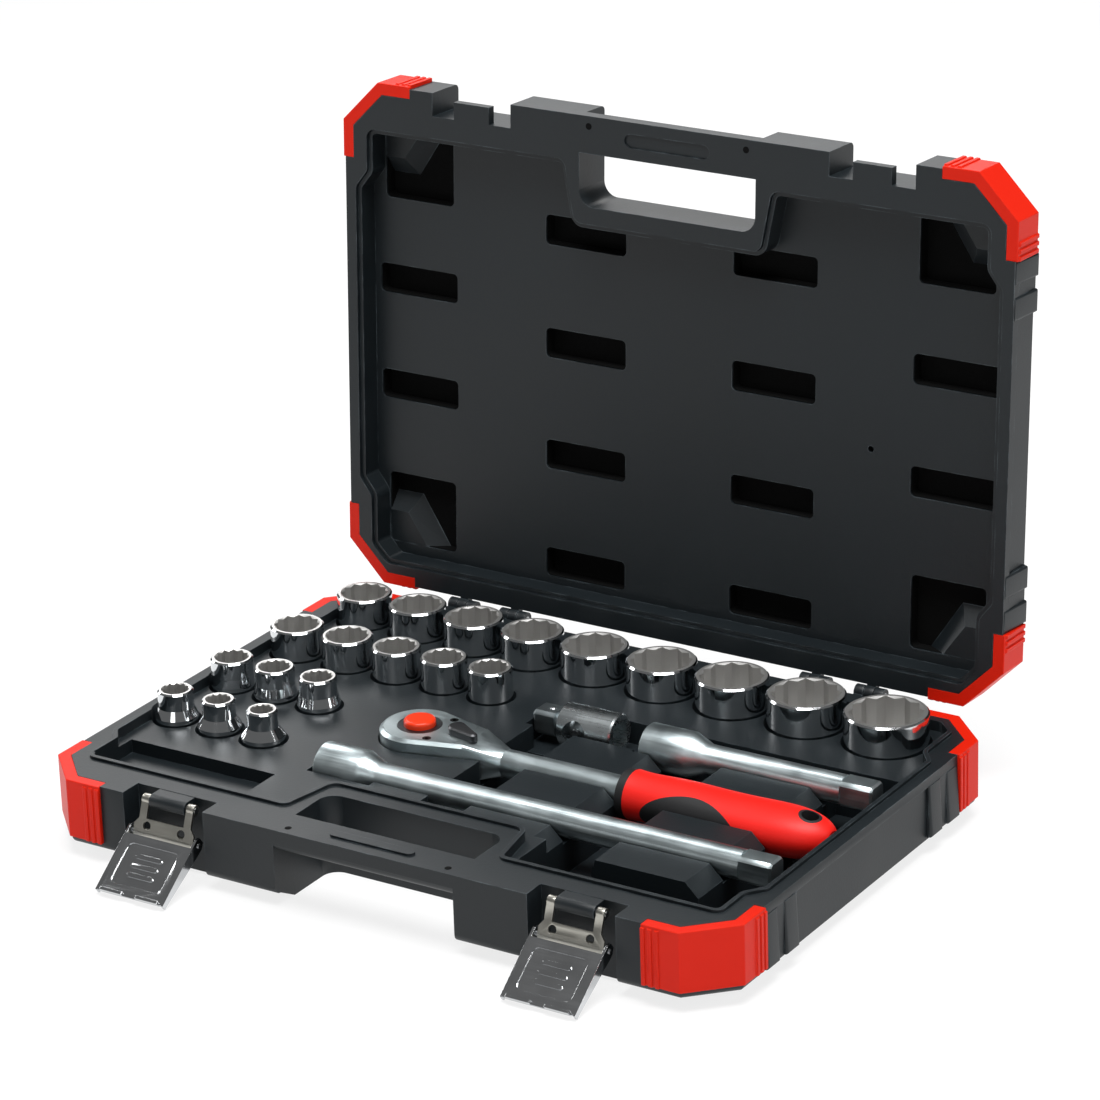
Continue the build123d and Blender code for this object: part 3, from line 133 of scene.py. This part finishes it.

# Lid recesses: the blow mould pinches the inner wall against the outer one in sixteen places. Thin
# near-black trays lie in them as painted shade, for the dark that falls there out of the light, with a faint
# mould blast.


def painted_shade_polyethylene():
    """Near-black polyethylene as painted shade for the recesses. The blast marks are really 0.3 mm and are
    drawn at 0.9 mm.
    """
    pit_mm = 0.9
    made, tree, place = new_material("painted_shade_polyethylene")
    pits = node(tree, "TexNoise", {"Vector": place, "Scale": 1000 / pit_mm, "Detail": 2.0}).outputs["Fac"]
    # Near-black painted shade, speckled faintly by the blast marks
    tone = node(
        tree, "Mix", {"Factor": pits, "A": paint("#030303"), "B": paint("#060707")}, data_type="RGBA",
    ).outputs["Result"]
    bumps = node(tree, "Bump", {"Height": pits, "Strength": 0.2, "Distance": 0.0004}).outputs["Normal"]
    skin = node(tree, "BsdfPrincipled", {
        "Base Color": tone, "Roughness": 0.85, "Normal": bumps, "IOR": 1.5, "Specular IOR Level": 0.12,
    })
    node(tree, "OutputMaterial", {"Surface": skin.outputs["BSDF"]})
    return made


def add_piece(name, form, material, body):
    """Makes an object of a form drawn in millimetres and lets it ride with a body."""
    bmesh.ops.recalc_face_normals(form, faces=form.faces)
    bmesh.ops.transform(form, matrix=Matrix.Scale(0.001, 4), verts=form.verts)
    mesh = bpy.data.meshes.new(name)
    form.to_mesh(mesh)
    form.free()
    mesh.materials.append(material)
    piece = bpy.data.objects.new(name, mesh)
    bpy.context.scene.collection.objects.link(piece)
    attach(piece, body)
    return piece


# The open lid's own directions: across, up from the hinge, and in towards its back
hinge_y, hinge_z, lean = 136.85, 40.2, math.radians(3.2)
lid_stands = Matrix((
    (1, 0, 0, 0),
    (0, math.sin(lean), math.cos(lean), hinge_y),
    (0, math.cos(lean), -math.sin(lean), hinge_z),
    (0, 0, 0, 1),
))
panel_in, back_in = 13.6, 21.2
painted_recess_shade = painted_shade_polyethylene()


def paint_recess_shade(name, places, length, width):
    """Trays of near-black painted shade that lie in the recesses, open towards the tools."""
    room, floor_gap, lip, corner, sheet_metres = 0.3, 0.25, 1.2, 2.4, 0.0002
    depth = back_in - panel_in - lip
    floor_in = back_in - floor_gap
    form = bmesh.new()
    for x, up in places:
        box = bmesh.ops.create_cube(form, size=1)["verts"]
        bmesh.ops.scale(form, vec=(length - room, width - room, depth), verts=box)
        bmesh.ops.translate(form, vec=(x, up, floor_in - depth / 2), verts=box)
        faces = {face for vert in box for face in vert.link_faces}
        edges = {edge for vert in box for edge in vert.link_edges}
        mouth = [face for face in faces if face.calc_center_median().z < floor_in - 0.9 * depth]
        uprights = [edge for edge in edges if abs(edge.verts[0].co.z - edge.verts[1].co.z) > depth / 2]
        bmesh.ops.delete(form, geom=mouth, context="FACES_ONLY")
        bmesh.ops.bevel(
            form, geom=uprights, offset=corner, affect="EDGES", segments=4, profile=0.5, material=-1,
        )
    bmesh.ops.transform(form, matrix=lid_stands, verts=form.verts)
    piece = add_piece(name, form, painted_recess_shade, "lid")
    sheet = piece.modifiers.new("sheet", "SOLIDIFY")
    sheet.thickness = sheet_metres
    sheet.offset = -1


slots = [(x, up) for x in (-54.2, 54.2) for up in (28.5, 86.5, 145.5, 204.5)]
slots += [(x, up) for x in (-154.6, 154.6) for up in (108.2, 165.0)]
paint_recess_shade("lid_slot_painted_shade", slots, 47.0, 15.5)
corners = [(x, up) for x in (-153.5, 153.5) for up in (41.5, 227.0)]
corner_length, corner_width = 41.0, 38.0
paint_recess_shade("lid_corner_painted_shade", corners, corner_length, corner_width)

# Corner webs: in each corner recess the inner wall runs across the case's cut corner, level with the panel,
# and slopes down to the floor. They are of one piece with the lid.
webs = bmesh.new()
web_foot = ((0, 0), (33, 0), (16, 26), (0, 26))
web_top_share = (0.68, 0.64, 1)
web_room, web_lift, web_drop, lid_middle = 0.1, 0.3, 0.5, 130
for x, up in corners:
    out_x, out_up = math.copysign(1, x), math.copysign(1, up - lid_middle)
    corner_x = x + out_x * (corner_length / 2 - web_room)
    corner_up = up + out_up * (corner_width / 2 - web_room)
    outline = [(corner_x - out_x * a, corner_up - out_up * b, back_in - web_lift) for a, b in web_foot]
    foot = webs.faces.new([webs.verts.new(point) for point in outline])
    risen = bmesh.ops.extrude_face_region(webs, geom=[foot])["geom"]
    top = [part for part in risen if isinstance(part, bmesh.types.BMVert)]
    bmesh.ops.translate(webs, vec=(0, 0, panel_in - back_in + web_drop), verts=top)
    from_corner = Matrix.Translation((-corner_x, -corner_up, 0))
    bmesh.ops.scale(webs, vec=web_top_share, space=from_corner, verts=top)
bmesh.ops.transform(webs, matrix=lid_stands, verts=webs.verts)
add_piece("lid_corner_webs", webs, case_skin, "lid")

# Peg holes: beside each handle bar the rims have two small blind holes, which the mould's locating pegs
# leave.
# Each is drawn as a thin near-black disc at the rim's face, painted shade in the same material as the
# recesses.
base_pegs = bmesh.new()
lid_pegs = bmesh.new()
peg_x, peg_radius, peg_depth = 44.5, 1.7, 0.3
base_peg_y, base_peg_z, lid_peg_up, lid_peg_in = -127.2, 39.9, 264.2, 0.3
for x in (-peg_x, peg_x):
    for form, place in ((base_pegs, (x, base_peg_y, base_peg_z)), (lid_pegs, (x, lid_peg_up, lid_peg_in))):
        bmesh.ops.create_cone(
            form, cap_ends=True, segments=24, radius1=peg_radius, radius2=peg_radius, depth=peg_depth,
            matrix=Matrix.Translation(place),
        )
bmesh.ops.transform(lid_pegs, matrix=lid_stands, verts=lid_pegs.verts)
add_piece("base_peg_hole_painted_shade", base_pegs, painted_recess_shade, "case_base")
add_piece("lid_peg_hole_painted_shade", lid_pegs, painted_recess_shade, "lid")

# Side ribs: beside each corner guard the blown side walls swell into two broad ribs, which fade out
# towards the rim. The wall stands out level between them, up to the sunk panel.
side_wall, guard_end, base_rim, lid_rim = 190.0, 92.9, 40.0, 0.2
rib_width, rib_pitch, rib_proud, rib_sunk, rib_round, rib_fade = 11.3, 17.6, 1.9, 0.4, 1.5, 0.12
panel_sunk, panel_end, panel_start, rib_room = 1.1, 83.95, 5.05, 0.3


def wall_block(form, end, outwards, across, along):
    """A block on the right side wall, near its front or rear end, drawn from the rim down."""
    block = bmesh.ops.create_cube(form, size=1)["verts"]
    spans = (outwards, across, along)
    middle = [(low + high) / 2 for low, high in spans]
    bmesh.ops.scale(form, vec=[high - low for low, high in spans], verts=block)
    bmesh.ops.translate(form, vec=(middle[0], end * middle[1], middle[2]), verts=block)
    return block


def swell_rib(form, end, across, along):
    """A rib with a rounded crest, which fades towards the rim."""
    block = wall_block(form, end, (side_wall - rib_sunk, side_wall + rib_proud), across, along)
    edges = {edge for vert in block for edge in vert.link_edges}
    outer = [edge for edge in edges if min(vert.co.x for vert in edge.verts) > side_wall]
    crest = [edge for edge in outer if max(vert.co.z for vert in edge.verts) > sum(along) / 2]
    made = bmesh.ops.bevel(
        form, geom=crest, offset=rib_round, affect="EDGES", segments=4, profile=0.5, material=-1,
    )
    block = [vert for vert in set(block) | set(made["verts"]) if vert.is_valid]
    near_rim = [vert for vert in block if vert.co.z < along[0] + 0.01 and vert.co.x > side_wall]
    to_wall = Matrix.Translation((-side_wall, 0, 0))
    bmesh.ops.scale(form, vec=(rib_fade, 1, 1), space=to_wall, verts=near_rim)


def add_side_ribs(name, body, stands, fade_start, foot):
    """The four ribbed places on the side walls of base or lid."""
    form = bmesh.new()
    first = guard_end - rib_room
    last = first - rib_pitch - rib_width - rib_room
    for end in (-1, 1):
        for reach in (first, first - rib_pitch):
            swell_rib(form, end, (reach - rib_width, reach), (fade_start, foot))
        wall_block(form, end, (side_wall - panel_sunk, side_wall), (last, panel_end), (panel_start, foot))
    copy = bmesh.ops.duplicate(form, geom=form.verts[:] + form.edges[:] + form.faces[:])["geom"]
    left = [part for part in copy if isinstance(part, bmesh.types.BMVert)]
    bmesh.ops.scale(form, vec=(-1, 1, 1), verts=left)
    bmesh.ops.transform(form, matrix=stands, verts=form.verts)
    piece = add_piece(name, form, case_skin, body)
    piece.data.shade_smooth()
    piece.data.set_sharp_from_angle(angle=math.radians(35))


base_downwards = Matrix.Translation((0, 0, base_rim)) @ Matrix.Scale(-1, 4, (0, 0, 1))
lid_backwards = lid_stands @ Matrix.Translation((0, hinge_y, lid_rim)) @ Matrix.Scale(-1, 4, (0, 1, 0))
add_side_ribs("base_side_ribs", "case_base", base_downwards, 5.2, 31.5)
add_side_ribs("lid_side_ribs", "lid", lid_backwards, 1.2, 22.3)

# Corner guards: injection-moulded red polypropylene, snapped over the cut corners of base and lid.
# The ribs at their ends are part of the moulding, and the skin is smoother than the case's.


def red_polypropylene():
    """Clean red plastic with a low orange peel about 3 mm across, and a painted highlight of lighter red
    along every edge.
    """
    peel_mm, cloud_mm, edge_mm, edge_highlight_share = 3, 40, 0.8, 0.35
    made, tree, place = new_material("red_polypropylene")
    peel = node(tree, "TexNoise", {"Vector": place, "Scale": 1000 / peel_mm, "Detail": 1.0}).outputs["Fac"]
    cloud = node(tree, "TexNoise", {"Vector": place, "Scale": 1000 / cloud_mm, "Detail": 3.0}).outputs["Fac"]
    edge = edge_for_wear_and_highlight(tree, edge_mm, 0.80, 0.97)
    tone = node(
        tree, "Mix", {"Factor": cloud, "A": paint("#C01B08"), "B": paint("#CA1F0A")}, data_type="RGBA",
    ).outputs["Result"]
    # Painted highlight: every edge is mixed about a third of the way to a lighter red
    half = node(tree, "Math", {0: edge, 1: edge_highlight_share}, operation="MULTIPLY").outputs["Value"]
    shade = node(tree, "Mix", {"Factor": half, "A": tone, "B": paint("#DE3A22")}, data_type="RGBA")
    bumps = node(tree, "Bump", {"Height": peel, "Strength": 0.06, "Distance": 0.0006}).outputs["Normal"]
    skin = node(tree, "BsdfPrincipled", {
        "Base Color": shade.outputs["Result"], "Roughness": 0.4, "Normal": bumps, "IOR": 1.49,
        "Specular IOR Level": 0.12,
    })
    node(tree, "OutputMaterial", {"Surface": skin.outputs["BSDF"]})
    return made


guard_corners = ("front_left", "front_right", "rear_left", "rear_right")
guards = [f"{half}_guard_{corner}" for half in ("base", "lid") for corner in guard_corners]
dress(red_polypropylene(), *guards)
soften(0.6, *guards)

# Latches and hinges: pressed steel strip on plain steel pins. The bracket is dull nickel, and the lever
# is rolled bright, with a sunk field between its flanges.


def plated_steel(name, colours, roughness, streak_mm):
    """Plated steel with faint rolling or drawing marks that run along the part, left to right."""
    cloud_mm, stretch = 14, 40
    made, tree, place = new_material(name)
    across, along = 1000 / streak_mm, 1000 / (streak_mm * stretch)
    long_way = node(tree, "Mapping", {"Vector": place, "Scale": (along, across, across)}).outputs["Vector"]
    marks = node(tree, "TexNoise", {"Vector": long_way, "Scale": 1.0, "Detail": 3.0}).outputs["Fac"]
    cloud = node(tree, "TexNoise", {"Vector": place, "Scale": 1000 / cloud_mm, "Detail": 4.0}).outputs["Fac"]
    both = node(tree, "Math", {0: marks, 1: cloud}, operation="MULTIPLY").outputs["Value"]
    dull = node(tree, "MapRange", {
        "Value": both, "From Min": 0.1, "From Max": 0.5,
        "To Min": roughness * 0.75, "To Max": roughness * 1.35,
    }).outputs["Result"]
    tone = node(
        tree, "Mix", {"Factor": cloud, "A": paint(colours[0]), "B": paint(colours[1])}, data_type="RGBA",
    ).outputs["Result"]
    bumps = node(tree, "Bump", {"Height": marks, "Strength": 0.05, "Distance": 0.0003}).outputs["Normal"]
    skin = node(tree, "BsdfPrincipled", {
        "Base Color": tone, "Metallic": 1.0, "Roughness": dull, "Normal": bumps,
    })
    node(tree, "OutputMaterial", {"Surface": skin.outputs["BSDF"]})
    return made


brackets = ("latch_bracket_left", "latch_bracket_right")
levers = ("latch_lever_left", "latch_lever_right")
dress(plated_steel("dull_nickel", ("#A9A79E", "#BDBBB3"), 0.36, 0.5), *brackets)
dress(plated_steel("bright_strip", ("#C4C6C8", "#D6D8DA"), 0.14, 0.6), *levers)
pin_steel = plated_steel("plain_steel", ("#A2A4A6", "#B6B8BA"), 0.3, 0.4)
dress(pin_steel, "hinge_pins", "latch_pivot_pins", "latch_lever_pin_left", "latch_lever_pin_right")
soften(0.25, *brackets, *levers)

# Sockets: forged chrome-vanadium steel, polished and plated to a mirror outside. The twelve-point bore
# is broached and only thinly plated, so it is duller and a little grey.


def mirror_chrome(name, middle, bore_mm):
    """Mirror chrome, with a duller broached wall within a radius of the socket's axis."""
    smear_mm, fine_mm, blend_mm, bore_dull = 11, 1.2, 0.15, 0.46
    made, tree, place = new_material(name)
    axis = (middle[0], middle[1], 0)
    shifted = node(tree, "VectorMath", {0: place, 1: axis}, operation="SUBTRACT").outputs["Vector"]
    split = node(tree, "SeparateXYZ", {"Vector": shifted}).outputs
    flat = node(tree, "CombineXYZ", {"X": split["X"], "Y": split["Y"]}).outputs["Vector"]
    off = node(tree, "VectorMath", {0: flat}, operation="LENGTH").outputs["Value"]
    bore = node(tree, "MapRange", {
        "Value": off, "From Min": bore_mm / 1000, "From Max": (bore_mm - blend_mm) / 1000,
    }).outputs["Result"]
    cloud = node(tree, "TexNoise", {"Vector": place, "Scale": 1000 / smear_mm, "Detail": 5.0}).outputs["Fac"]
    fine = node(tree, "TexNoise", {"Vector": place, "Scale": 1000 / fine_mm, "Detail": 2.0}).outputs["Fac"]
    tone = node(
        tree, "Mix", {"Factor": bore, "A": paint("#D6D9DB"), "B": paint("#C6C5C3")}, data_type="RGBA",
    ).outputs["Result"]
    smear = node(tree, "MapRange", {"Value": cloud, "To Min": 0.05, "To Max": 0.11}).outputs["Result"]
    dull = node(tree, "Mix", {"Factor": bore, "A": smear, "B": bore_dull}, data_type="FLOAT")
    bumps = node(tree, "Bump", {"Height": fine, "Strength": 0.02, "Distance": 0.0002}).outputs["Normal"]
    skin = node(tree, "BsdfPrincipled", {
        "Base Color": tone, "Metallic": 1.0, "Roughness": dull.outputs["Result"], "Normal": bumps,
    })
    node(tree, "OutputMaterial", {"Surface": skin.outputs["BSDF"]})
    return made


# Outside, a socket's nut end is 3.4 mm and 1.2 times its size across, and its bright rim is 0.75 mm wide
least_across, growth, bright_rim = 3.4, 1.2, 0.75
for size in sorted(int(name.split("_")[1]) for name in solids if name.startswith("socket_")):
    low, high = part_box(f"socket_{size}")
    middle = [(a + b) / 2 for a, b in zip(low, high)]
    nut_end = least_across + growth * size
    dress(mirror_chrome(f"mirror_chrome_{size}", middle, nut_end / 2 - bright_rim), f"socket_{size}")

# Extension bars: turned from chrome-vanadium bar and satin plated, with fine drawing marks along them.
# A spring ball stands in the side of each male square.
bar_chrome = plated_steel("satin_chrome", ("#B2BFC2", "#C9D3D5"), 0.38, 0.7)
dress(bar_chrome, "extension_250", "extension_125")
soften(0.4, "extension_250", "extension_125")
dress(pin_steel, "extension_250_ball", "extension_125_ball")

# Ratchet: a forged, satin-plated head and shank. Gear, pawl and selector are dark phosphated steel, the
# release button is orange-red nylon, and the two cover screws are blackened.
dress(bar_chrome, "ratchet_body", "cover_plate")
gear_steel = plated_steel("phosphated_steel", ("#4A4B4D", "#5C5D5F"), 0.4, 0.8)
dress(gear_steel, "drive_gear", "pawl", "reversing_lever")
dress(plated_steel("black_oxide", ("#1C1C1D", "#2A2A2B"), 0.42, 0.5), "cover_screws")
dress(pin_steel, "drive_ball", "release_spring")


def moulded(name, colours, roughness, grain_mm, strength):
    """Moulded nylon or soft elastomer with a fine even grain."""
    cloud_mm = 22
    made, tree, place = new_material(name)
    grain = node(tree, "TexNoise", {"Vector": place, "Scale": 1000 / grain_mm, "Detail": 2.0}).outputs["Fac"]
    cloud = node(tree, "TexNoise", {"Vector": place, "Scale": 1000 / cloud_mm, "Detail": 3.0}).outputs["Fac"]
    tone = node(
        tree, "Mix", {"Factor": cloud, "A": paint(colours[0]), "B": paint(colours[1])}, data_type="RGBA",
    ).outputs["Result"]
    bumps = node(tree, "Bump", {"Height": grain, "Strength": strength, "Distance": 0.0004}).outputs["Normal"]
    skin = node(tree, "BsdfPrincipled", {
        "Base Color": tone, "Roughness": roughness, "Normal": bumps, "IOR": 1.5, "Specular IOR Level": 0.3,
    })
    node(tree, "OutputMaterial", {"Surface": skin.outputs["BSDF"]})
    return made


dress(moulded("orange_nylon", ("#D03010", "#DA3814"), 0.28, 1.5, 0.03), "release_button")

# Grip: a black core moulded over the shank, and a red cover of softer elastomer moulded round that, which
# leaves the core's side inlays and hanging eyelet bare.
dress(moulded("red_elastomer", ("#E01A12", "#EA2018"), 0.46, 1.2, 0.08), "grip_overmould")
dress(moulded("black_elastomer", ("#1B1B1C", "#242425"), 0.5, 1.2, 0.1), "grip_core")

# Universal joint: a bright sleeve over a dull grey ball end, held by a cross pin. The sleeve is polished
# and plated, and the ball end is plated straight over the forging's skin.
dress(plated_steel("bright_chrome", ("#C6CED0", "#D8DEE0"), 0.27, 0.9), "joint_sleeve")
dress(plated_steel("grey_forging", ("#7C8487", "#969EA1"), 0.4, 0.8), "joint_drive")
dress(pin_steel, "joint_pin", "joint_drive_ball")

# Studio: a white card floor, a dim grey surround, a large softbox overhead and narrow ones at the sides
# that draw upright streaks on the chrome. The card is nearly white where it is seen or mirrored.
scene = bpy.context.scene
scene.view_settings.view_transform = "Standard"
world = bpy.data.worlds.new("studio")
world.use_nodes = True
scene.world = world
surround = world.node_tree
surround.nodes.clear()
glow = node(surround, "Background", {"Color": (1, 1, 1, 1), "Strength": 0.14})
node(surround, "OutputWorld", {"Surface": glow.outputs["Background"]})

floor_half, fibre_mm, white_share = 12, 2, 0.8
floor_form = bmesh.new()
bmesh.ops.create_grid(floor_form, x_segments=1, y_segments=1, size=floor_half)
floor_mesh = bpy.data.meshes.new("floor")
floor_form.to_mesh(floor_mesh)
floor_form.free()
floor = bpy.data.objects.new("floor", floor_mesh)
scene.collection.objects.link(floor)
sheet, tree, place = new_material("white_card")
fibre = node(tree, "TexNoise", {"Vector": place, "Scale": 1000 / fibre_mm, "Detail": 2.0}).outputs["Fac"]
card = node(tree, "Mix", {"Factor": fibre, "A": paint("#F4F4F4"), "B": paint("#F8F8F8")}, data_type="RGBA")
lit = node(tree, "BsdfDiffuse", {"Color": card.outputs["Result"]})
white = node(tree, "Emission", {"Color": (1, 1, 1, 1), "Strength": 1.0})
path = node(tree, "LightPath", {}).outputs
straight, mirrored, through = path["Is Camera Ray"], path["Is Glossy Ray"], path["Is Transmission Ray"]
seen = node(tree, "Math", {0: straight, 1: mirrored}, operation="MAXIMUM").outputs["Value"]
clear = node(tree, "Math", {0: seen, 1: through}, operation="MAXIMUM").outputs["Value"]
share = node(tree, "Math", {0: clear, 1: white_share}, operation="MULTIPLY").outputs["Value"]
mixed = node(tree, "MixShader", {"Fac": share, 1: lit.outputs["BSDF"], 2: white.outputs["Emission"]})
node(tree, "OutputMaterial", {"Surface": mixed.outputs["Shader"]})
floor_mesh.materials.append(sheet)


def softbox(name, place, aim, width, height, watts):
    """A rectangular lamp at a place, turned to an aim."""
    lamp = bpy.data.lights.new(name, "AREA")
    lamp.shape = "RECTANGLE"
    lamp.size = width
    lamp.size_y = height
    lamp.energy = watts
    stand = bpy.data.objects.new(name, lamp)
    stand.location = place
    stand.rotation_euler = (Vector(aim) - Vector(place)).to_track_quat("-Z", "Y").to_euler()
    scene.collection.objects.link(stand)


tools, case_middle = (0, 0, 0.05), (0, 0, 0.1)
softbox("top", (0.3, -0.25, 1.9), tools, 1.4, 0.9, 52)
softbox("back", (-0.8, 1.15, 1.15), tools, 1.3, 0.7, 16)
softbox("left", (-1.4, 0.05, 0.6), tools, 0.3, 0.9, 8)
softbox("right", (1.4, 0.2, 0.7), tools, 0.3, 0.9, 5)
softbox("front", (0.3, -1.9, 1.0), case_middle, 0.8, 0.4, 2.5)

# Camera: to the right of the case and above it, about two metres off, with a long lens. It is turned,
# dipped and slightly rolled as the view of the open case needs.
camera_data = bpy.data.cameras.new("camera")
camera_data.sensor_width = 36
camera_data.sensor_fit = "HORIZONTAL"
camera_data.lens = 148.59
camera = bpy.data.objects.new("camera", camera_data)
scene.collection.objects.link(camera)
scene.camera = camera
turn, dip, roll = math.radians(32.9), math.radians(21.793), math.radians(-1.8823)
right = Vector((math.cos(turn), math.sin(turn), 0))
ahead = Vector((-math.sin(turn) * math.cos(dip), math.cos(turn) * math.cos(dip), -math.sin(dip)))
upward = right.cross(ahead)
across = math.cos(roll) * right + math.sin(roll) * upward
upright = math.cos(roll) * upward - math.sin(roll) * right
pose = Matrix((across, upright, -ahead)).transposed().to_4x4()
pose.translation = (1.0991, -1.6634, 0.9387)
camera.matrix_world = pose
